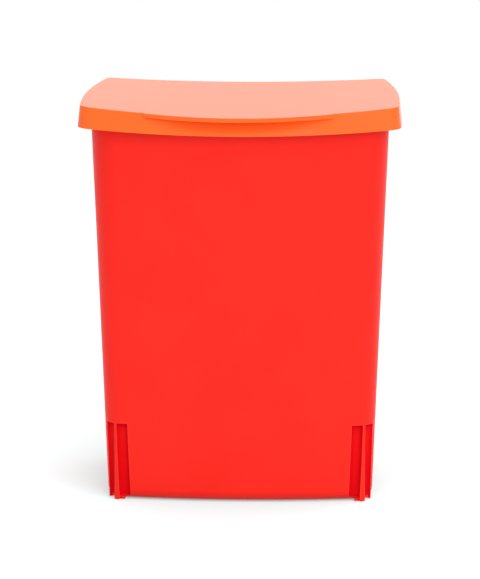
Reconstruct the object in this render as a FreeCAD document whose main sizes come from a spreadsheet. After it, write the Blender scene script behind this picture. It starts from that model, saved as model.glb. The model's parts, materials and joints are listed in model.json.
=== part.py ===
"""A free-standing kitchen recycling bin, built as the pieces it comes apart into.

A tapered bucket stands on four soft pads.  A rim collar drops over the bucket's rim, clamps
the edge of the bag and lifts off.  The collar carries a skirted lid on two steel hinge pins, and
two soft buffers keep the lid from clapping on the collar.

Frame: millimetres, +Z up, the front faces -Y, and the origin is on the floor under the middle of
the lid.
"""

import FreeCAD
import Part
import Sketcher
import math
import os

# Driving dimensions, in millimetres.
SIZES = {
    # whole bin
    "lid_width": 262.0,
    "lid_depth": 205.0,
    "overall_height": 330.0,
    # bucket wall and floor
    "side_overhang": 10.0,
    "front_overhang": 10.4,
    "rear_overhang": 21.7,
    "wall_taper": 11.2,
    "rim_below_top": 13.0,
    "front_bow": 700.0,
    "side_bow": 790.0,
    "widest_forward": 25.0,
    "rim_corner": 25.4,
    "bucket_wall": 2.2,
    "floor_thickness": 3.0,
    "base_round": 9.0,
    "floor_round": 6.0,
    # turned-out bead of the bucket's rim
    "bead_width": 2.4,
    "bead_drop": 5.5,
    # fluted lower corners of the bucket: two flutes each, with a fin left between them
    "flute_height": 64.6,
    "face_flute_radius": 4.7,
    "face_flute_inset": 15.1,
    "side_flute_radius": 4.7,
    "side_flute_inset": 5.0,
    "side_flute_setback": 11.3,
    "foot_thickness": 2.0,
    "foot_clearance": 0.2,
    # recessed panel under the base
    "base_ring": 34.0,
    "base_recess": 0.8,
    "base_panel_corner": 12.0,
    # soft pads under the base
    "pad_diameter": 14.0,
    "pad_thickness": 1.8,
    "pad_seat": 1.5,
    "pad_side_inset": 34.0,
    "pad_end_inset": 26.0,
    # rim collar
    "collar_wall": 1.6,
    "collar_web": 2.2,
    "collar_drop": 6.3,
    "collar_leg": 16.0,
    "collar_fit": 0.3,
    "bag_gap": 1.0,
    # hinge
    "hinge_spacing": 104.0,
    "hinge_behind_collar": 8.7,
    "hinge_below_rim": 2.0,
    "hinge_radius": 4.5,
    "knuckle_width": 16.0,
    "ear_thickness": 4.0,
    "ear_side_gap": 0.3,
    "pin_diameter": 4.0,
    "pin_running_fit": 0.08,
    "pin_head_diameter": 7.0,
    "pin_head_thickness": 1.6,
    # lid shell
    "lid_wall": 2.2,
    "lid_top": 2.5,
    "skirt_height": 17.8,
    "skirt_flare": 2.0,
    "skirt_smile": 5.1,
    "lid_bow": 800.0,
    "lid_side_bow": 800.0,
    "lid_front_corner": 12.0,
    "lid_rear_corner": 8.0,
    "dish_front": 7.6,
    "dish_rear": 4.0,
    "rear_skirt": 12.0,
    "rear_cut_inset": 8.0,
    # finger lip at the front of the lid
    "lip_reach": 6.0,
    "lip_width": 150.0,
    "lip_thickness": 3.3,
    "scoop_depth": 3.0,
    "scoop_radius": 14.0,
    "scoop_below_lip": 0.6,
    # locating rib under the lid
    "rib_gap": 2.0,
    "rib_thickness": 1.8,
    "rib_drop": 3.5,
    # soft buffers under the lid
    "buffer_diameter": 7.5,
    "buffer_head": 2.0,
    "buffer_stem_diameter": 3.8,
    "buffer_stem": 2.2,
    "buffer_gap": 0.2,
    "buffer_forward": 40.0,
    # how far a cutting shape runs past what it cuts
    "overrun": 1.0,
}

doc = FreeCAD.newDocument("recycling_bin")


class Size:
    """A length that holds both its value and the sheet formula that gives it."""

    def __init__(self, value, formula):
        self.value = value
        self.formula = formula

    def __add__(self, other):
        other = as_size(other)
        return Size(self.value + other.value, f"({self.formula} + {other.formula})")

    def __sub__(self, other):
        other = as_size(other)
        return Size(self.value - other.value, f"({self.formula} - {other.formula})")

    def __mul__(self, other):
        other = as_size(other)
        return Size(self.value * other.value, f"({self.formula} * {other.formula})")

    def __truediv__(self, other):
        other = as_size(other)
        return Size(self.value / other.value, f"({self.formula} / {other.formula})")

    def __neg__(self):
        return Size(-self.value, f"(-{self.formula})")


def as_size(number):
    """A plain number as a Size, so that sums can mix the two."""
    return number if isinstance(number, Size) else Size(float(number), str(float(number)))


def root(size):
    """The square root of a Size."""
    return Size(math.sqrt(size.value), f"sqrt({size.formula})")


def make_sheet():
    """Writes the driving dimensions into the document's spreadsheet, one alias per row."""
    sheet = doc.addObject("Spreadsheet::Sheet", "sizes")
    for row, (alias, value) in enumerate(SIZES.items(), start=1):
        sheet.set(f"A{row}", alias)
        sheet.set(f"B{row}", str(value))
        sheet.setAlias(f"B{row}", alias)
    doc.recompute()


def named(alias):
    """A driving dimension as a Size bound to its cell."""
    return Size(SIZES[alias], f"sizes.{alias}")


make_sheet()
overrun = named("overrun")
NOTHING = as_size(0)

# Places that several pieces share.
pad_stand = named("pad_thickness") - named("pad_seat")
base_level = pad_stand
rim_level = named("overall_height") - named("rim_below_top")
lid_half = named("lid_width") / 2
lid_rear = named("lid_depth") / 2
skirt_front = named("lip_reach") - lid_rear
rim_half = lid_half - named("side_overhang")
rim_front = skirt_front + named("front_overhang")
rim_rear = lid_rear - named("rear_overhang")
base_half = rim_half - named("wall_taper")
base_front = rim_front + named("wall_taper")
base_rear = rim_rear - named("wall_taper")
collar_outside = named("bead_width") + named("collar_fit") + named("collar_wall")
collar_inside = named("bucket_wall") + named("bag_gap") + named("collar_wall")
collar_top = rim_level + named("collar_web")
hinge_level = rim_level - named("hinge_below_rim")
hinge_line = rim_rear + collar_outside + named("hinge_behind_collar")
pin_radius = named("pin_diameter") / 2
lid_level = named("overall_height")
skirt_level = lid_level - named("skirt_height")
widest = -named("widest_forward")


# Part primitives with every size and place bound to the sheet.
def place(item, x, y, z):
    """Binds an object's position."""
    for axis, size in zip("xyz", (x, y, z)):
        item.setExpression(f"Placement.Base.{axis}", size.formula)


def box(name, x_span, y_span, z_span):
    """A block between the given pairs of limits."""
    item = doc.addObject("Part::Box", name)
    for edge, span in zip(("Length", "Width", "Height"), (x_span, y_span, z_span)):
        item.setExpression(edge, (span[1] - span[0]).formula)
    place(item, x_span[0], y_span[0], z_span[0])
    return item


def upright_cylinder(name, x, y, z_span, radius):
    """A cylinder that stands along Z."""
    item = doc.addObject("Part::Cylinder", name)
    item.setExpression("Radius", radius.formula)
    item.setExpression("Height", (z_span[1] - z_span[0]).formula)
    place(item, x, y, z_span[0])
    return item


def cross_cylinder(name, x_span, y, z, radius):
    """A cylinder that lies along X."""
    item = doc.addObject("Part::Cylinder", name)
    item.setExpression("Radius", radius.formula)
    item.setExpression("Height", (x_span[1] - x_span[0]).formula)
    item.Placement.Rotation = FreeCAD.Rotation(FreeCAD.Vector(0, 1, 0), 90)
    place(item, x_span[0], y, z)
    return item


def fuse(name, items):
    """One solid from several that touch or overlap."""
    item = doc.addObject("Part::MultiFuse", name)
    item.Shapes = items
    return item


def cut(name, base, tool):
    """The base with the tool's space taken out."""
    item = doc.addObject("Part::Cut", name)
    item.Base = base
    item.Tool = tool
    return item


def common(name, base, tool):
    """The space that two solids share."""
    item = doc.addObject("Part::Common", name)
    item.Base = base
    item.Tool = tool
    return item


# Sketches with every dimension bound to the sheet.
def add_sketch(body, name, plane, offset):
    """An empty sketch on one of the body's origin planes, moved along the plane's normal."""
    sketch = body.newObject("Sketcher::SketchObject", name)
    origin_plane = [f for f in body.Origin.OriginFeatures if f.Role == plane][0]
    sketch.AttachmentSupport = (origin_plane, [""])
    sketch.MapMode = "FlatFace"
    sketch.setExpression("AttachmentOffset.Base.z", offset.formula)
    return sketch


def dimension(sketch, name, size, kind, *parts):
    """A named dimension of the sketch, bound to the sheet."""
    index = sketch.addConstraint(Sketcher.Constraint(kind, *parts, size.value))
    sketch.renameConstraint(index, name)
    sketch.setExpression(f"Constraints.{name}", size.formula)


START, END, CENTRE = range(1, 4)
ORIGIN = (-1, 1)
Y_AXIS = -2


def arc(centre_x, centre_y, radius, first, last):
    """A counter-clockwise arc between two angles in radians."""
    circle = Part.Circle(FreeCAD.Vector(centre_x, centre_y, 0), FreeCAD.Vector(0, 0, 1), radius)
    return Part.ArcOfCircle(circle, first, last)


def line(x0, y0, x1, y1):
    """A straight edge of a sketch."""
    return Part.LineSegment(FreeCAD.Vector(x0, y0, 0), FreeCAD.Vector(x1, y1, 0))


class Outline:
    """The plan of one ring of the bin: bowed front and sides, straight rear, four round corners."""

    def __init__(self, half, front, rear, bow, side_bow, front_corner, rear_corner):
        self.half = half
        self.front = front
        self.rear = rear
        self.bow = bow
        self.side_bow = side_bow
        self.front_corner = front_corner
        self.rear_corner = rear_corner

    def grown(self, offset):
        """The same plan moved outwards by an even offset."""
        return Outline(
            self.half + offset,
            self.front - offset,
            self.rear + offset,
            self.bow + offset,
            self.side_bow + offset,
            self.front_corner + offset,
            self.rear_corner + offset,
        )

    def front_at(self, x):
        """Where the bowed front stands at a distance from the middle."""
        return self.front + self.bow - root(self.bow * self.bow - x * x)

    def half_at(self, y):
        """How far the bowed side stands from the middle at a depth."""
        along = y - widest
        return self.half - self.side_bow + root(self.side_bow * self.side_bow - along * along)

    def draw(self, sketch, prefix):
        """Adds the closed plan to a sketch, every edge tangent to the next."""
        half, rear = self.half.value, self.rear.value
        bow, side_bow = self.bow.value, self.side_bow.value
        front_r, rear_r = self.front_corner.value, self.rear_corner.value
        bow_y = self.front.value + bow
        side_x, side_y = half - side_bow, widest.value
        corner_x, corner_y = meeting_point(
            0, bow_y, bow - front_r, side_x, side_y, side_bow - front_r
        )
        back_y = rear - rear_r
        back_x = side_x + math.sqrt((side_bow - rear_r) ** 2 - (back_y - side_y) ** 2)
        front_turn = math.atan2(corner_y - bow_y, corner_x)
        side_turn = math.atan2(corner_y - side_y, corner_x - side_x)
        back_turn = math.atan2(back_y - side_y, back_x - side_x)
        quarter = math.pi / 2
        half_turn = math.pi
        first = sketch.GeometryCount
        sketch.addGeometry(
            [
                arc(0, bow_y, bow, -half_turn - front_turn, front_turn),
                arc(corner_x, corner_y, front_r, front_turn, side_turn),
                arc(side_x, side_y, side_bow, side_turn, back_turn),
                arc(back_x, back_y, rear_r, back_turn, quarter),
                line(back_x, rear, -back_x, rear),
                arc(-back_x, back_y, rear_r, quarter, half_turn - back_turn),
                arc(-side_x, side_y, side_bow, half_turn - back_turn, half_turn - side_turn),
                arc(-corner_x, corner_y, front_r, half_turn - side_turn, half_turn - front_turn),
            ]
        )
        front, corner_r, right, back_r, back, back_l, left, corner_l = range(first, first + 8)
        loop = [front, corner_r, right, back_r, back, back_l, left, corner_l]
        for edge, following in zip(loop, loop[1:] + loop[:1]):
            sketch.addConstraint(Sketcher.Constraint("Tangent", edge, END, following, START))
        sketch.addConstraint(Sketcher.Constraint("Horizontal", back))
        sketch.addConstraint(Sketcher.Constraint("PointOnObject", front, CENTRE, Y_AXIS))
        sketch.addConstraint(Sketcher.Constraint("Equal", corner_r, corner_l))
        sketch.addConstraint(Sketcher.Constraint("Equal", right, left))
        sketch.addConstraint(Sketcher.Constraint("Equal", back_r, back_l))
        side_centre = self.side_bow - self.half
        dimension(sketch, prefix + "Bow", self.bow, "Radius", front)
        dimension(sketch, prefix + "SideBow", self.side_bow, "Radius", right)
        dimension(sketch, prefix + "FrontCorner", self.front_corner, "Radius", corner_r)
        dimension(sketch, prefix + "RearCorner", self.rear_corner, "Radius", back_r)
        dimension(sketch, prefix + "Right", side_centre, "DistanceX", right, CENTRE, *ORIGIN)
        dimension(sketch, prefix + "Left", side_centre, "DistanceX", *ORIGIN, left, CENTRE)
        dimension(sketch, prefix + "RightWidest", -widest, "DistanceY", right, CENTRE, *ORIGIN)
        dimension(sketch, prefix + "LeftWidest", -widest, "DistanceY", left, CENTRE, *ORIGIN)
        dimension(sketch, prefix + "Rear", self.rear, "DistanceY", *ORIGIN, back, START)
        bow_place = self.front + self.bow
        dimension(sketch, prefix + "Front", bow_place, "DistanceY", *ORIGIN, front, CENTRE)


def meeting_point(x0, y0, radius0, x1, y1, radius1):
    """The right-hand point where two circles cross."""
    across, along = x1 - x0, y1 - y0
    apart = math.hypot(across, along)
    reach = (radius0**2 - radius1**2 + apart**2) / (2 * apart)
    rise = math.sqrt(radius0**2 - reach**2)
    points = [
        (
            x0 + (reach * across - sign * rise * along) / apart,
            y0 + (reach * along + sign * rise * across) / apart,
        )
        for sign in (-1, 1)
    ]
    return max(points)


def plan_prism(name, outline, z_span):
    """A straight-sided block with the given plan."""
    body = doc.addObject("PartDesign::Body", name)
    sketch = add_sketch(body, name + "_plan", "XY_Plane", z_span[0])
    outline.draw(sketch, "plan")
    pad = body.newObject("PartDesign::Pad", name + "_pad")
    pad.Profile = sketch
    pad.setExpression("Length", (z_span[1] - z_span[0]).formula)
    return body


def plan_taper(name, outline, z_span, growth):
    """A drafted block whose plan grows evenly outwards on its way up."""
    body = plan_prism(name, outline, z_span)
    height = z_span[1] - z_span[0]
    body.Tip.setExpression("TaperAngle", f"atan({growth.formula} / {height.formula})")
    return body


def round_low_edge(body, level, radius):
    """Rounds the closed edge round the bottom of a body."""
    doc.recompute()
    base = body.Tip
    tolerance = radius.value / 100
    edges = [
        f"Edge{number}"
        for number, edge in enumerate(base.Shape.Edges, start=1)
        if all(abs(v.Z - level.value) < tolerance for v in edge.Vertexes)
    ]
    fillet = body.newObject("PartDesign::Fillet", body.Name + "_round")
    fillet.Base = (base, edges)
    fillet.setExpression("Radius", radius.formula)
    return fillet


# The plans that the bucket, the collar and the lid are drawn from.
rim_corner = named("rim_corner")
rim_plan = Outline(
    rim_half, rim_front, rim_rear, named("front_bow"), named("side_bow"), rim_corner, rim_corner
)
base_plan = rim_plan.grown(-named("wall_taper"))
lid_plan = Outline(
    lid_half,
    skirt_front,
    lid_rear,
    named("lid_bow"),
    named("lid_side_bow"),
    named("lid_front_corner"),
    named("lid_rear_corner"),
)


# Bucket: tapered wall, round-edged floor, beaded rim and fluted lower corners.
rear_narrowing = base_half - base_plan.half_at(base_rear)
rear_turn = base_rear - base_plan.rear_corner
corner_narrowing = base_half - base_plan.half_at(rear_turn)
flute_top = base_level + named("flute_height")
face_flute_x = base_half - named("face_flute_inset")
face_flute_y = base_plan.front_at(face_flute_x)
rear_setback = named("side_flute_setback") - (face_flute_y - base_front)


def leaning_cylinder(name, x, y, z_span, radius, x_side, y_side):
    """A cylinder that leans outwards over a corner, as steeply as the two walls that meet there."""
    item = upright_cylinder(name, x, y, z_span, radius)
    rise = rim_level - base_level
    item.Placement.Rotation = FreeCAD.Rotation(FreeCAD.Vector(-y_side, x_side, 0), 1)
    lean = f"atan(sqrt(2) * {named('wall_taper').formula} / {rise.formula})"
    item.setExpression("Placement.Rotation.Angle", lean)
    return item


def flute_places():
    """Each flute's name, centre and radius at the base, its lean, and where it ends below."""
    face_radius = named("face_flute_radius")
    side_radius = named("side_flute_radius")
    side_x = base_half - named("side_flute_inset")
    rear_face_x = face_flute_x - corner_narrowing
    rear_side_x = side_x - corner_narrowing
    front_side_y = base_front + named("side_flute_setback")
    rear_side_y = base_rear - rear_setback
    foot_top = base_level + named("foot_thickness")
    through = base_level - overrun
    rows = [
        ("face_front", face_flute_x, face_flute_y, face_radius, -1, foot_top),
        ("side_front", side_x, front_side_y, side_radius, -1, through),
        ("face_rear", rear_face_x, base_rear, face_radius, 1, foot_top),
        ("side_rear", rear_side_x, rear_side_y, side_radius, 1, through),
    ]
    places = []
    for name, x, y, radius, y_side, low in rows:
        places.append((name + "_left", -x, y, radius, -1, y_side, low))
        places.append((name + "_right", x, y, radius, 1, y_side, low))
    return places


def flutes(tag, wall, through):
    """The eight flutes, grown by a wall if asked, and cut off level at their ends."""
    pieces = []
    top = flute_top + wall
    for name, x, y, radius, x_side, y_side, low in flute_places():
        start = base_level - overrun if through else low
        span = (start, top + overrun * 2)
        pieces.append(leaning_cylinder(f"{tag}_{name}", x, y, span, radius + wall, x_side, y_side))
    reach = rim_half + named("side_flute_radius")
    slab = box(
        f"{tag}_slab",
        (-reach, reach),
        (rim_front - reach, rim_rear + reach),
        (base_level - overrun * 2, top),
    )
    return common(f"{tag}_flutes", fuse(f"{tag}_posts", pieces), slab)


def mirrored(span, sign):
    """A pair of limits along X, swapped over to the left for a negative sign."""
    return span if sign > 0 else (-span[1], -span[0])


def corner_feet():
    """The upright fin of each fluted corner and the foot beside it, just clear of the floor."""
    low = named("foot_clearance")
    slope = named("wall_taper") / (rim_level - base_level)
    foot_span = (low, base_level + named("base_round") * 2)
    foot_plan = base_plan.grown(slope * (low - base_level))
    sharp = plan_taper("sharp_base", foot_plan, foot_span, slope * (foot_span[1] - low))
    fin_span = (low, flute_top)
    ledge_plan = base_plan.grown(slope * named("flute_height"))
    upright = plan_prism("upright_corners", ledge_plan, fin_span)
    side_x = base_half - named("side_flute_inset")
    radius = named("side_flute_radius")
    front_turn = base_front + named("side_flute_setback")
    rear_turn_y = base_rear - rear_setback
    feet, fins = [], []
    for end, shift, foot_y, fin_y in (
        ("front", NOTHING, (rim_front, front_turn + radius), (rim_front, front_turn)),
        ("rear", corner_narrowing, (rear_turn_y - radius, rim_rear), (rear_turn_y, rim_rear)),
    ):
        for side, sign in (("left", -1), ("right", 1)):
            foot_x = mirrored((face_flute_x - shift, rim_half), sign)
            fin_x = mirrored((face_flute_x - shift, side_x - shift), sign)
            feet.append(box(f"foot_{end}_{side}", foot_x, foot_y, foot_span))
            fins.append(box(f"fin_{end}_{side}", fin_x, fin_y, fin_span))
    sharp_feet = common("sharp_feet", sharp, fuse("foot_blocks", feet))
    fin_posts = common("fin_posts", upright, fuse("fin_blocks", fins))
    upright_fins = cut("upright_fins", fin_posts, flutes("fin", NOTHING, True))
    return fuse("corner_feet", [sharp_feet, upright_fins])


def pad_places():
    """The corner names and centres of the four soft pads."""
    x = base_half - named("pad_side_inset")
    front_y = base_front + named("pad_end_inset")
    rear_y = base_rear - named("pad_end_inset")
    return [
        ("front_left", -x, front_y),
        ("front_right", x, front_y),
        ("rear_left", rear_narrowing - x, rear_y),
        ("rear_right", x - rear_narrowing, rear_y),
    ]


def make_bucket():
    """The red bucket, one moulding."""
    wall = named("bucket_wall")
    floor_level = base_level + named("floor_thickness")
    taper = named("wall_taper")
    wall_span = (base_level, rim_level)
    form = plan_taper("bucket_form", base_plan, wall_span, taper)
    round_low_edge(form, base_level, named("base_round"))
    footed = fuse("bucket_footed", [form, corner_feet()])
    fluted = cut("bucket_fluted", footed, flutes("outer", NOTHING, False))

    bead_span = (rim_level - named("bead_drop"), rim_level)
    bead = plan_prism("rim_bead", rim_plan.grown(named("bead_width")), bead_span)
    outside = fuse("bucket_outside", [fluted, bead])

    inner_span = (floor_level, rim_level + overrun)
    inside = plan_taper("bucket_inside", base_plan.grown(-wall), inner_span, taper)
    round_low_edge(inside, floor_level, named("floor_round"))
    cavity = cut("bucket_cavity", inside, flutes("inner", wall, True))
    shell = cut("bucket_open", outside, cavity)

    ring = named("base_ring")
    corner = named("base_panel_corner")
    inset_plan = base_plan.grown(-ring)
    inset_plan.front_corner = corner
    inset_plan.rear_corner = corner
    panel_span = (base_level - overrun, base_level + named("base_recess"))
    panel = plan_prism("base_panel", inset_plan, panel_span)
    seats = [
        upright_cylinder(
            f"pad_seat_{corner}",
            x,
            y,
            (base_level - overrun, base_level + named("pad_seat")),
            named("pad_diameter") / 2,
        )
        for corner, x, y in pad_places()
    ]
    return cut("bucket_shell", shell, fuse("base_recesses", [panel] + seats))


def make_pads():
    """Four soft pads seated in the base, which the bin stands on."""
    return [
        upright_cylinder(
            f"foot_pad_{corner}", x, y, (NOTHING, named("pad_thickness")), named("pad_diameter") / 2
        )
        for corner, x, y in pad_places()
    ]


# Hinge: two places across the rear, each a knuckle between two ears on one steel pin.
def hinge_places():
    """The names and middles of the two hinges, with the side that the pin's head is on."""
    middle = named("hinge_spacing") / 2
    return [("left", -middle, -1), ("right", middle, 1)]


def ear_spans(middle):
    """The two ears' limits along X at one hinge."""
    gap = named("knuckle_width") / 2 + named("ear_side_gap")
    far = gap + named("ear_thickness")
    return [(middle - far, middle - gap), (middle + gap, middle + far)]


def make_collar():
    """The ring over the bucket's rim, which clamps the bag and carries the lid's hinge ears."""
    outer_leg_low = rim_level - named("collar_drop")
    inner_leg_low = rim_level - named("collar_leg")
    inner_leg_plan = rim_plan.grown(-(named("bucket_wall") + named("bag_gap")))
    outer = plan_prism("collar_outer", rim_plan.grown(collar_outside), (outer_leg_low, collar_top))
    bead_space = plan_prism(
        "collar_bead_space",
        rim_plan.grown(named("bead_width") + named("collar_fit")),
        (outer_leg_low - overrun, rim_level),
    )
    inner = plan_prism("collar_inner", inner_leg_plan, (inner_leg_low, collar_top))
    mouth_span = (inner_leg_low - overrun, collar_top + overrun)
    mouth = plan_prism("collar_mouth", rim_plan.grown(-collar_inside), mouth_span)
    root_y = rim_rear + collar_outside - named("collar_wall") / 2
    ears, holes = [], []
    for side, middle, _ in hinge_places():
        for number, span in enumerate(ear_spans(middle), start=1):
            tag = f"{side}_{number}"
            radius = named("hinge_radius")
            height = (hinge_level - radius, hinge_level + radius)
            ears.append(box(f"ear_arm_{tag}", span, (root_y, hinge_line), height))
            ears.append(cross_cylinder(f"ear_eye_{tag}", span, hinge_line, hinge_level, radius))
            past = (span[0] - overrun, span[1] + overrun)
            hole = cross_cylinder(f"ear_hole_{tag}", past, hinge_line, hinge_level, pin_radius)
            holes.append(hole)
    legs = fuse("collar_legs", [cut("collar_cap", outer, bead_space), inner])
    ring = cut("collar_ring", legs, mouth)
    return cut("rim_collar", fuse("collar_with_ears", [ring] + ears), fuse("ear_holes", holes))


def make_pins():
    """A headed steel pin through each hinge, tight in the ears and free in the lid's knuckle."""
    pins = []
    for side, middle, sign in hinge_places():
        spans = ear_spans(middle)
        low, high = spans[0][0], spans[1][1]
        thickness = named("pin_head_thickness")
        head_span = (high, high + thickness) if sign > 0 else (low - thickness, low)
        shank_span = (low, high)
        shank = cross_cylinder(f"pin_shank_{side}", shank_span, hinge_line, hinge_level, pin_radius)
        head = cross_cylinder(
            f"pin_head_{side}", head_span, hinge_line, hinge_level, named("pin_head_diameter") / 2
        )
        pins.append(fuse(f"hinge_pin_{side}", [shank, head]))
    return pins


# Lid: a dished top with a flared skirt, a finger lip, a locating rib and hinge knuckles.
def sagged_section(body, name, y, top, top_sag, bottom, bottom_sag):
    """A block's cross-section at one depth, with a dished top and a sagging bottom edge."""
    half = lid_half + overrun
    sketch = add_sketch(body, name, "XZ_Plane", -y)
    radii = [(half * half + sag * sag) / (sag * 2) for sag in (top_sag, bottom_sag)]
    spans = [math.asin(half.value / radius.value) for radius in radii]
    down = -math.pi / 2
    centres = [
        level.value - sag.value + radius.value
        for level, sag, radius in zip((top, bottom), (top_sag, bottom_sag), radii)
    ]
    sketch.addGeometry(
        [
            arc(0, centres[0], radii[0].value, down - spans[0], down + spans[0]),
            line(half.value, top.value, half.value, bottom.value),
            arc(0, centres[1], radii[1].value, down - spans[1], down + spans[1]),
            line(-half.value, bottom.value, -half.value, top.value),
        ]
    )
    dish, right, belly, left = range(4)
    corners = [
        (dish, END, right, START),
        (right, END, belly, END),
        (belly, START, left, START),
        (left, END, dish, START),
    ]
    for corner in corners:
        sketch.addConstraint(Sketcher.Constraint("Coincident", *corner))
    sketch.addConstraint(Sketcher.Constraint("Vertical", right))
    sketch.addConstraint(Sketcher.Constraint("Vertical", left))
    dimension(sketch, "rightSide", half, "DistanceX", *ORIGIN, right, START)
    dimension(sketch, "leftSide", half, "DistanceX", left, START, *ORIGIN)
    dimension(sketch, "rightTop", top, "DistanceY", *ORIGIN, right, START)
    dimension(sketch, "leftTop", top, "DistanceY", *ORIGIN, left, END)
    dimension(sketch, "rightBottom", bottom, "DistanceY", *ORIGIN, right, END)
    dimension(sketch, "leftBottom", bottom, "DistanceY", *ORIGIN, left, START)
    dimension(sketch, "dishRadius", radii[0], "Radius", dish)
    dimension(sketch, "bellyRadius", radii[1], "Radius", belly)
    return sketch


def dished_block(name, below_top, below_skirt):
    """A block as wide as the lid, between lowered copies of its dished top and its lower edge."""
    body = doc.addObject("PartDesign::Body", name)
    reach = lid_rear + overrun
    sections = [
        sagged_section(
            body,
            f"{name}_{end}",
            y,
            lid_level - below_top,
            sag,
            skirt_level - below_skirt,
            named("skirt_smile"),
        )
        for end, y, sag in (
            ("front", -reach, named("dish_front")),
            ("rear", reach, named("dish_rear")),
        )
    ]
    loft = body.newObject("PartDesign::AdditiveLoft", name + "_loft")
    loft.Profile = sections[0]
    loft.Sections = [sections[1]]
    loft.Ruled = True
    return body


def skirt_block(name, inset):
    """The flared block inside the lid's skirt, from below its lower edge to above its top."""
    low = skirt_level - named("skirt_smile") - overrun * 2
    high = lid_level + overrun
    flare_rate = named("skirt_flare") / named("skirt_height")
    low_plan = lid_plan.grown(flare_rate * (skirt_level - low) - inset)
    return plan_taper(name, low_plan, (low, high), -flare_rate * (high - low))


def lip_plan_prism():
    """The bowed finger lip seen from above, as a block from the lip's level upwards."""
    body = doc.addObject("PartDesign::Body", "lip_block")
    half = named("lip_width") / 2
    tip = -lid_rear
    root_y = lid_plan.front_at(half)
    sag = root_y - tip
    radius = (half * half + sag * sag) / (sag * 2)
    back_y = root_y + named("lid_wall") * 2
    level = skirt_level
    sketch = add_sketch(body, "lip_plan", "XY_Plane", level)
    span = math.asin(half.value / radius.value)
    down = -math.pi / 2
    sketch.addGeometry(
        [
            arc(0, tip.value + radius.value, radius.value, down - span, down + span),
            line(half.value, root_y.value, half.value, back_y.value),
            line(half.value, back_y.value, -half.value, back_y.value),
            line(-half.value, back_y.value, -half.value, root_y.value),
        ]
    )
    edge, right, back, left = range(4)
    for corner in ((edge, right), (right, back), (back, left), (left, edge)):
        sketch.addConstraint(Sketcher.Constraint("Coincident", corner[0], END, corner[1], START))
    sketch.addConstraint(Sketcher.Constraint("Vertical", right))
    sketch.addConstraint(Sketcher.Constraint("Vertical", left))
    sketch.addConstraint(Sketcher.Constraint("Horizontal", back))
    dimension(sketch, "rightEnd", half, "DistanceX", *ORIGIN, right, START)
    dimension(sketch, "leftEnd", half, "DistanceX", left, END, *ORIGIN)
    dimension(sketch, "rightRoot", -root_y, "DistanceY", right, START, *ORIGIN)
    dimension(sketch, "leftRoot", -root_y, "DistanceY", left, END, *ORIGIN)
    dimension(sketch, "back", -back_y, "DistanceY", right, END, *ORIGIN)
    dimension(sketch, "lipRadius", radius, "Radius", edge)
    pad = body.newObject("PartDesign::Pad", "lip_pad")
    pad.Profile = sketch
    pad.setExpression("Length", (lid_level + overrun - level).formula)
    return body


def scoop(name, growth):
    """The finger hollow across the front of the skirt, deepest just under the lip."""
    radius = named("scoop_radius") + growth
    lip_under = lid_level - named("dish_front") - named("lip_thickness")
    z = lip_under - named("scoop_below_lip")
    y = skirt_front + named("scoop_depth") - named("scoop_radius")
    half = named("lip_width") / 2
    return cross_cylinder(name, (-half, half), y, z, radius)


def buffer_places():
    """The names and centres of the two buffers, over the middle of the collar's side webs."""
    web_middle = rim_plan.grown((collar_outside - collar_inside) / 2)
    x = web_middle.half_at(-named("buffer_forward"))
    return [("left", -x), ("right", x)]


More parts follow.
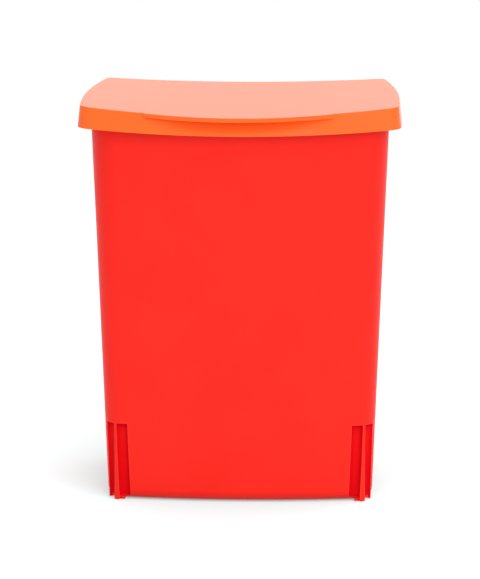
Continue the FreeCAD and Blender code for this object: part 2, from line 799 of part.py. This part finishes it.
def make_lid():
    """The orange lid, one moulding."""
    outer_block = dished_block("lid_outer_block", NOTHING, NOTHING)
    under_lip = dished_block("lid_under_lip", named("lip_thickness"), overrun)
    lip = cut("lid_lip", lip_plan_prism(), under_lip)
    plan = fuse("lid_plan", [skirt_block("skirt_outside", NOTHING), lip])
    form = common("lid_form", plan, outer_block)
    hollow_under_lip = common("hollow_under_lip", scoop("lip_scoop", NOTHING), under_lip)
    scooped = cut("lid_scooped", form, hollow_under_lip)

    inner_block = dished_block("lid_inner_block", named("lid_top"), overrun)
    hollow = common("lid_hollow", skirt_block("skirt_inside", named("lid_wall")), inner_block)
    cavity = cut("lid_cavity", hollow, scoop("lip_scoop_wall", named("lid_wall")))
    gap_half = lid_plan.half_at(lid_rear) - named("rear_cut_inset")
    rear_gap = box(
        "rear_skirt_gap",
        (-gap_half, gap_half),
        (lid_rear - named("lid_wall") - overrun, lid_rear + overrun),
        (skirt_level - named("skirt_smile") - overrun, lid_level - named("rear_skirt")),
    )
    shell = cut("lid_skin", scooped, fuse("lid_spaces", [cavity, rear_gap]))

    rib_low = collar_top - named("rib_drop")
    rib_outside = rim_plan.grown(-(collar_inside + named("rib_gap")))
    rib_inside = rib_outside.grown(-named("rib_thickness"))
    rib = cut(
        "locating_rib",
        plan_prism("rib_outside", rib_outside, (rib_low, lid_level)),
        plan_prism("rib_inside", rib_inside, (rib_low - overrun, lid_level + overrun)),
    )

    radius = named("hinge_radius")
    plate_middle = lid_level - named("dish_rear") - named("lid_top") / 2
    blocks = [rib]
    knuckles = []
    holes = []
    for side, middle, _ in hinge_places():
        half = named("knuckle_width") / 2
        span = (middle - half, middle + half)
        arm_y = (hinge_line - radius, hinge_line + radius)
        root_y = (hinge_line - radius, lid_rear - named("lid_wall") / 2)
        root_z = (lid_level - named("rear_skirt"), plate_middle)
        knuckles.append(box(f"knuckle_root_{side}", span, root_y, root_z))
        knuckles.append(box(f"knuckle_arm_{side}", span, arm_y, (hinge_level, plate_middle)))
        eye = cross_cylinder(f"knuckle_eye_{side}", span, hinge_line, hinge_level, radius)
        knuckles.append(eye)
        past = (span[0] - overrun, span[1] + overrun)
        bore = pin_radius + named("pin_running_fit")
        holes.append(cross_cylinder(f"knuckle_bore_{side}", past, hinge_line, hinge_level, bore))

    head_top = collar_top + named("buffer_gap") + named("buffer_head")
    for side, x in buffer_places():
        boss_radius = named("buffer_diameter") / 2
        stem_radius = named("buffer_stem_diameter") / 2
        y = -named("buffer_forward")
        boss_span = (head_top, lid_level)
        blocks.append(upright_cylinder(f"buffer_boss_{side}", x, y, boss_span, boss_radius))
        socket = (head_top - overrun, head_top + named("buffer_stem"))
        holes.append(upright_cylinder(f"buffer_socket_{side}", x, y, socket, stem_radius))

    fittings = common("lid_fittings", fuse("lid_blocks", blocks), outer_block)
    whole = fuse("lid_with_fittings", [shell, fittings] + knuckles)
    return cut("lid_shell", whole, fuse("lid_holes", holes))


def make_buffers():
    """Two soft buttons under the lid, each with a stem in its boss."""
    head_low = collar_top + named("buffer_gap")
    head_top = head_low + named("buffer_head")
    buffers = []
    for side, x in buffer_places():
        y = -named("buffer_forward")
        head_radius = named("buffer_diameter") / 2
        head = upright_cylinder(f"buffer_head_{side}", x, y, (head_low, head_top), head_radius)
        stem_radius = named("buffer_stem_diameter") / 2
        stem_span = (head_top, head_top + named("buffer_stem"))
        stem = upright_cylinder(f"buffer_stem_{side}", x, y, stem_span, stem_radius)
        buffers.append(fuse(f"lid_buffer_{side}", [head, stem]))
    return buffers


def check(pieces):
    """Stops if any object of the document failed or any piece is not one valid solid."""
    for item in doc.Objects:
        if {"Invalid", "Error"} & set(item.State):
            raise RuntimeError(f"{item.Name} failed: {item.State}")
    for piece in pieces:
        shape = piece.Shape
        if shape.isNull() or not shape.isValid() or len(shape.Solids) != 1:
            raise RuntimeError(f"{piece.Label} is not one valid solid")


def main():
    """Builds every piece and writes each to its own STEP file."""
    pieces = [make_bucket(), *make_pads(), make_collar(), *make_pins(), make_lid(), *make_buffers()]
    doc.recompute()
    check(pieces)
    os.makedirs("parts", exist_ok=True)
    for piece in pieces:
        piece.Shape.exportStep(f"parts/{piece.Label}.step")
        span = piece.Shape.BoundBox
        print(f"{piece.Label}: {piece.Shape.Volume:.0f} mm3, x {span.XMin:.1f} to {span.XMax:.1f},",
              f"y {span.YMin:.1f} to {span.YMax:.1f}, z {span.ZMin:.1f} to {span.ZMax:.1f}")


main()
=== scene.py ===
import json
import math

import bpy
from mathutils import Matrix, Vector

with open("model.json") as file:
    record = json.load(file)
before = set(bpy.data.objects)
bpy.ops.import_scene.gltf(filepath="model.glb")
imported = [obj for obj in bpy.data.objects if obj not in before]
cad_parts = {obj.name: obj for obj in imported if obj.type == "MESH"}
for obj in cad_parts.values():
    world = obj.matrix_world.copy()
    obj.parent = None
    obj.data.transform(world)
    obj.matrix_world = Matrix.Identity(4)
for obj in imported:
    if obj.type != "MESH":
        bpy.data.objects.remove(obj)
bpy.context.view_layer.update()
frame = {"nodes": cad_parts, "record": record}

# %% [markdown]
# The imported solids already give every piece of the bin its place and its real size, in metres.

nodes = frame["nodes"]

# %% [markdown]
# The bin was photographed with a long lens, from above the rim and a hair to the right of the
# middle.  One could push the camera about by eye; here its stand was worked out from the corners
# of the lid and the base instead, so it is set with plain numbers.  A long lens keeps the sides
# of the bin nearly parallel, which a shorter one from close by would not.

# %% Camera
CAMERA_DISTANCE = 2.136
CAMERA_HEIGHT = 0.6085
CAMERA_TURN = math.radians(1.757)
CAMERA_TILT = math.radians(11.768)
PICTURE_HEIGHT = 579
LENS_PIXELS = 2600
AIM_TURN = math.atan(2.12 / LENS_PIXELS)


def add_to_scene(item):
    bpy.context.scene.collection.objects.link(item)
    return item


lens = bpy.data.cameras.new("photo_camera")
lens.sensor_width = 36
lens.lens = lens.sensor_width * LENS_PIXELS / PICTURE_HEIGHT
camera = add_to_scene(bpy.data.objects.new("photo_camera", lens))
camera.location = (
    CAMERA_DISTANCE * math.sin(CAMERA_TURN),
    -CAMERA_DISTANCE * math.cos(CAMERA_TURN),
    CAMERA_HEIGHT,
)
camera.rotation_euler = (math.pi / 2 - CAMERA_TILT, 0, CAMERA_TURN + AIM_TURN)
bpy.context.scene.camera = camera
print("lens:", round(lens.lens, 1), "mm at", [round(v, 3) for v in camera.location])

# %% [markdown]
# Materials are small graphs of nodes.  A few helpers keep their code short: one starts a material
# and clears it, one adds a node, sets its sockets and joins what feeds it, and one adds a ramp of
# colours.  A socket goes by its name, or, where two share a name, by its number, as _0 and _1.

# %% Helpers for node graphs
def start_material(name):
    material = bpy.data.materials.new(name)
    material.use_nodes = True
    material.node_tree.nodes.clear()
    return material, material.node_tree


def add_node(tree, kind, settings=None, **sockets):
    node = tree.nodes.new("ShaderNode" + kind)
    for name, value in (settings or {}).items():
        setattr(node, name, value)
    for name, value in sockets.items():
        socket = node.inputs[int(name[1:]) if name[1:].isdigit() else name.replace("_", " ")]
        if isinstance(value, bpy.types.NodeSocket):
            tree.links.new(value, socket)
        else:
            socket.default_value = value
    return node


def add_ramp(tree, factor, stops):
    ramp = add_node(tree, "ValToRGB", Fac=factor)
    elements = ramp.color_ramp.elements
    while len(elements) < len(stops):
        elements.new(1.0)
    for element, (position, colour) in zip(elements, stops):
        element.position = position
        element.color = (*colour, 1)
    return ramp.outputs["Color"]


def grey(level):
    return (level, level, level)


print("helpers ready")

# %% [markdown]
# The floor is a wide white sheet.  It could be lit until it burns out, but that light would wash
# out the bin too.  So the sheet stays a matt white that takes the bin's soft shadow, and a little
# glow of its own, seen by the camera and in reflections only, lifts it to paper white.  Near the bin
# the sheet is a touch cool, which cancels the red that the bucket throws on it; its tones are given
# by their distance from the middle, in metres.

# %% White floor
FLOOR_RADIUS = 1.6
FLOOR_SIDES = 64
FLOOR_BELOW = 0.0001
FLOOR_GLOW = 0.28
SHEET_TONES = [(0.1, (0.52, 0.74, 0.74)), (0.16, (0.63, 0.74, 0.74)), (0.3, (0.7, 0.74, 0.74))]


def seen_or_mirrored(tree):
    path = add_node(tree, "LightPath")
    seen = path.outputs["Is Camera Ray"]
    for ray in ("Is Glossy Ray", "Is Transmission Ray"):
        either = add_node(tree, "Math", {"operation": "MAXIMUM"}, _0=seen, _1=path.outputs[ray])
        seen = either.outputs[0]
    return seen


def floor_paper():
    material, tree = start_material("studio_white")
    place = add_node(tree, "TexCoord").outputs["Object"]
    away = add_node(tree, "VectorMath", {"operation": "LENGTH"}, _0=place).outputs["Value"]
    paper = add_node(tree, "BsdfDiffuse", Color=add_ramp(tree, away, SHEET_TONES))
    seen = seen_or_mirrored(tree)
    glow = add_node(tree, "Math", {"operation": "MULTIPLY"}, _0=seen, _1=FLOOR_GLOW)
    lift = add_node(tree, "Emission", Strength=glow.outputs[0])
    both = add_node(tree, "AddShader", _0=paper.outputs[0], _1=lift.outputs[0])
    add_node(tree, "OutputMaterial", Surface=both.outputs[0])
    return material


def floor_sheet():
    angles = [2 * math.pi * step / FLOOR_SIDES for step in range(FLOOR_SIDES)]
    rim = [
        (FLOOR_RADIUS * math.cos(a), FLOOR_RADIUS * math.sin(a), -FLOOR_BELOW) for a in angles
    ]
    mesh = bpy.data.meshes.new("floor_sheet")
    mesh.from_pydata(rim, [], [range(FLOOR_SIDES)])
    mesh.materials.append(floor_paper())
    return mesh


floor = add_to_scene(bpy.data.objects.new("floor_sheet", floor_sheet()))
print("floor:", 2 * FLOOR_RADIUS, "m across")

# %% [markdown]
# The room is a white studio tent: bright in front and behind, and dimmer at both sides, where grey
# panels stand, so that the side edges of the bin deepen a little and its round corners show.  The
# camera and the mirrored view see plain white.  Two soft boxes add shape: a large one high on the
# right that sends the shadow to the left, and a weaker one overhead for the lid.

# %% Studio tent
def studio_tent(left, middle, right):
    world = bpy.data.worlds.new("studio_tent")
    world.use_nodes = True
    tree = world.node_tree
    tree.nodes.clear()
    place = add_node(tree, "TexCoord")
    axes = add_node(tree, "SeparateXYZ", Vector=place.outputs["Generated"])
    across = add_node(tree, "MapRange", Value=axes.outputs["X"], From_Min=-1.0, From_Max=1.0)
    stops = [(0.1, grey(left)), (0.42, grey(middle)), (0.6, grey(middle)), (0.95, grey(right))]
    cloth = add_ramp(tree, across.outputs["Result"], stops)
    tent = add_node(tree, "Background", Color=cloth)
    white = add_node(tree, "Background", Color=(1, 1, 1, 1))
    seen = seen_or_mirrored(tree)
    shown = add_node(tree, "MixShader", Fac=seen, _1=tent.outputs[0], _2=white.outputs[0])
    add_node(tree, "OutputWorld", Surface=shown.outputs[0])
    return world


bpy.context.scene.world = studio_tent(left=0.55, middle=1.0, right=0.6)
bpy.context.scene.view_settings.view_transform = "Standard"
print("world:", bpy.context.scene.world.name)


# %% Soft boxes
def soft_box(name, place, aim, size, power):
    light = bpy.data.lights.new(name, "AREA")
    light.shape = "RECTANGLE"
    light.size, light.size_y = size
    light.energy = power
    lamp = add_to_scene(bpy.data.objects.new(name, light))
    lamp.location = place
    lamp.rotation_euler = (Vector(aim) - Vector(place)).to_track_quat("-Z", "Y").to_euler()
    print(name, power, "W")


soft_box("key_box", place=(1.3, -2.2, 1.8), aim=(0, 0, 0.15), size=(2.6, 2.2), power=40)
soft_box("top_box", place=(0.2, 0.0, 2.4), aim=(0, 0, 0.2), size=(2.4, 2.4), power=28)

# %% [markdown]
# Bucket, lid and collar are injection mouldings.  Their plastic is coloured right through, with a
# faint cloudiness where the melt flowed, a satin gloss that wanders a little and a very fine grain
# from the mould.  Along the edges a painted highlight makes the colour paler, as if light caught
# them.  In narrow hollows, such as the flutes at the bucket's feet and the hollow under the lip,
# shade is painted in: the colour is darker and deeper and the sheen is taken away; how much sky a
# spot sees within a finger's width tells where they are.  All noises are read in the object's own
# metres, so the grain keeps its real size on every piece.

# %% Moulded plastic
GRAIN_PER_METRE = 1800
CLOUDS_PER_METRE = 24
GRAIN_DEPTH = 0.00005
SATIN_WANDER = 0.03
# Width of the painted edge highlight, and how sharp an edge must be to take it.
HIGHLIGHT_WIDTH = 0.0009
HIGHLIGHT_FROM, HIGHLIGHT_FULL = 0.99, 0.85
# Reach and strength of the painted shade in hollows.
HOLLOW_REACH = 0.012
HOLLOW_FROM, HOLLOW_FULL = 0.93, 0.7
MASK_SAMPLES = 4


def mask_between(tree, value, none_at, full_at):
    mask = add_node(tree, "MapRange", Value=value, From_Min=none_at, From_Max=full_at)
    return mask.outputs["Result"]


# Painted highlight: a mask of the edges, where the colour turns paler as if light caught them.
def painted_edge_highlight(tree):
    rounded = add_node(tree, "Bevel", {"samples": MASK_SAMPLES}, Radius=HIGHLIGHT_WIDTH)
    true = add_node(tree, "NewGeometry")
    alike = add_node(
        tree,
        "VectorMath",
        {"operation": "DOT_PRODUCT"},
        _0=rounded.outputs["Normal"],
        _1=true.outputs["Normal"],
    )
    return mask_between(tree, alike.outputs["Value"], HIGHLIGHT_FROM, HIGHLIGHT_FULL)


# Painted shade: a mask of narrow hollows, where the colour darkens and the sheen goes as if in
# shade.
def painted_hollow_shade(tree):
    settings = {"samples": MASK_SAMPLES, "only_local": True}
    open_sky = add_node(tree, "AmbientOcclusion", settings, Distance=HOLLOW_REACH)
    return mask_between(tree, open_sky.outputs["AO"], HOLLOW_FROM, HOLLOW_FULL)


def moulded_plastic(name, colour, cloudy, highlight_colour, shaded_colour, roughness, gloss, grain):
    material, tree = start_material(name)
    place = add_node(tree, "TexCoord").outputs["Object"]
    clouds = add_node(tree, "TexNoise", Vector=place, Scale=CLOUDS_PER_METRE, Detail=4)
    body = add_ramp(tree, clouds.outputs["Fac"], [(0.3, cloudy), (0.7, colour)])
    shade_mask = painted_hollow_shade(tree)
    # Painted shade: the hollows take the darker colour.
    shaded_body = add_node(tree, "MixRGB", Fac=shade_mask, Color1=body, Color2=(*shaded_colour, 1))
    # Painted highlight: the edges take the paler colour.
    tint = add_node(
        tree,
        "MixRGB",
        Fac=painted_edge_highlight(tree),
        Color1=shaded_body.outputs["Color"],
        Color2=(*highlight_colour, 1),
    ).outputs["Color"]
    # Painted shade: the sheen fades to nothing in the hollows.
    shaded_gloss = add_node(tree, "MapRange", Value=shade_mask, To_Min=gloss, To_Max=0.0)
    satin = add_node(
        tree,
        "MapRange",
        Value=clouds.outputs["Fac"],
        To_Min=roughness - SATIN_WANDER,
        To_Max=roughness + SATIN_WANDER,
    ).outputs["Result"]
    pits = add_node(tree, "TexNoise", Vector=place, Scale=GRAIN_PER_METRE, Detail=2)
    bump = add_node(
        tree, "Bump", Strength=grain, Distance=GRAIN_DEPTH, Height=pits.outputs["Fac"]
    )
    skin = add_node(
        tree,
        "BsdfPrincipled",
        Base_Color=tint,
        Roughness=satin,
        Normal=bump.outputs["Normal"],
        Specular_IOR_Level=shaded_gloss.outputs["Result"],
    )
    add_node(tree, "OutputMaterial", Surface=skin.outputs[0])
    return material


# Each plastic gives its painted edge-highlight colour and its painted hollow-shade colour.
finishes = {
    "bucket_plastic": moulded_plastic(
        "bucket_plastic",
        colour=(0.95, 0.017, 0.008),
        cloudy=(0.93, 0.014, 0.006),
        highlight_colour=(0.97, 0.07, 0.05),
        shaded_colour=(0.75, 0.0005, 0.007),
        roughness=0.42,
        gloss=0.18,
        grain=0.3,
    ),
    "lid_plastic": moulded_plastic(
        "lid_plastic",
        colour=(0.95, 0.128, 0.006),
        cloudy=(0.94, 0.119, 0.005),
        highlight_colour=(0.97, 0.18, 0.025),
        shaded_colour=(0.98, 0.112, 0.01),
        roughness=0.22,
        gloss=0.36,
        grain=0.15,
    ),
    "collar_plastic": moulded_plastic(
        "collar_plastic",
        colour=(0.93, 0.13, 0.008),
        cloudy=(0.91, 0.12, 0.007),
        highlight_colour=(0.96, 0.18, 0.03),
        shaded_colour=(0.93, 0.105, 0.005),
        roughness=0.34,
        gloss=0.4,
        grain=0.25,
    ),
}
print("plastics:", sorted(finishes))

# %% [markdown]
# The hinge pins are drawn steel wire.  Pulling the wire through a die leaves fine lines along it,
# so the noise that sets shade and polish is stretched along the pin, which lies across the bin.

# %% Drawn steel
LINES_PER_METRE = (90, 2400, 2400)


def drawn_steel(name):
    material, tree = start_material(name)
    place = add_node(tree, "TexCoord").outputs["Object"]
    along = add_node(tree, "Mapping", Vector=place, Scale=LINES_PER_METRE).outputs["Vector"]
    lines = add_node(tree, "TexNoise", Vector=along, Scale=1.0, Detail=3).outputs["Fac"]
    tone = add_ramp(tree, lines, [(0.3, (0.5, 0.5, 0.52)), (0.7, (0.72, 0.72, 0.74))])
    polish = add_node(tree, "MapRange", Value=lines, To_Min=0.2, To_Max=0.45)
    skin = add_node(
        tree, "BsdfPrincipled", Base_Color=tone, Roughness=polish.outputs["Result"], Metallic=1.0
    )
    add_node(tree, "OutputMaterial", Surface=skin.outputs[0])
    return material


finishes["hinge_steel"] = drawn_steel("hinge_steel")
print("steel ready")

# %% [markdown]
# The pads under the base and the buffers under the lid are soft dark rubber: dull, slightly dusty
# and coarser in the grain than the plastic around them.

# %% Soft rubber
DUST_PER_METRE = 420
DUST_DEPTH = 0.0002


def soft_rubber(name, dark, dusty):
    material, tree = start_material(name)
    place = add_node(tree, "TexCoord").outputs["Object"]
    dust = add_node(
        tree, "TexNoise", Vector=place, Scale=DUST_PER_METRE, Detail=5, Roughness=0.65
    )
    tone = add_ramp(tree, dust.outputs["Fac"], [(0.35, grey(dark)), (0.8, grey(dusty))])
    dull = add_node(tree, "MapRange", Value=dust.outputs["Fac"], To_Min=0.6, To_Max=0.85)
    bump = add_node(
        tree, "Bump", Strength=0.25, Distance=DUST_DEPTH, Height=dust.outputs["Fac"]
    )
    skin = add_node(
        tree,
        "BsdfPrincipled",
        Base_Color=tone,
        Roughness=dull.outputs["Result"],
        Normal=bump.outputs["Normal"],
        Specular_IOR_Level=0.3,
    )
    add_node(tree, "OutputMaterial", Surface=skin.outputs[0])
    return material


finishes["buffer_rubber"] = soft_rubber("buffer_rubber", dark=0.03, dusty=0.07)
finishes["pad_rubber"] = soft_rubber("pad_rubber", dark=0.04, dusty=0.09)
print("finishes:", len(finishes))

# %% [markdown]
# A moulding has no knife edges.  The solids keep their own faces, and modifiers round the edges
# without touching the mesh: the seams are welded, so that the bevel finds the edges, a narrow bevel
# takes off the sharpness, and the normals are weighted, so that the wide faces stay flat.

# %% Dress the solids
EDGE_ROUND = {"bucket_shell": 0.0005, "lid_shell": 0.0005}
SMALL_ROUND = 0.0003
SEAM_GAP = 0.000005
SHARP_ANGLE = math.radians(32)


def soften_edges(piece, width):
    weld = piece.modifiers.new("weld_seams", "WELD")
    weld.merge_threshold = SEAM_GAP
    bevel = piece.modifiers.new("moulded_edges", "BEVEL")
    bevel.width = width
    bevel.segments = 2
    bevel.limit_method = "ANGLE"
    bevel.angle_limit = SHARP_ANGLE
    even = piece.modifiers.new("even_normals", "WEIGHTED_NORMAL")
    even.keep_sharp = True


for piece in frame["record"]["subparts"]:
    solid = nodes[piece["node"]]
    solid.data.materials.clear()
    solid.data.materials.append(finishes[piece["material_slot"]])
    soften_edges(solid, EDGE_ROUND.get(piece["node"], SMALL_ROUND))
    print(piece["node"], "wears", piece["material_slot"])
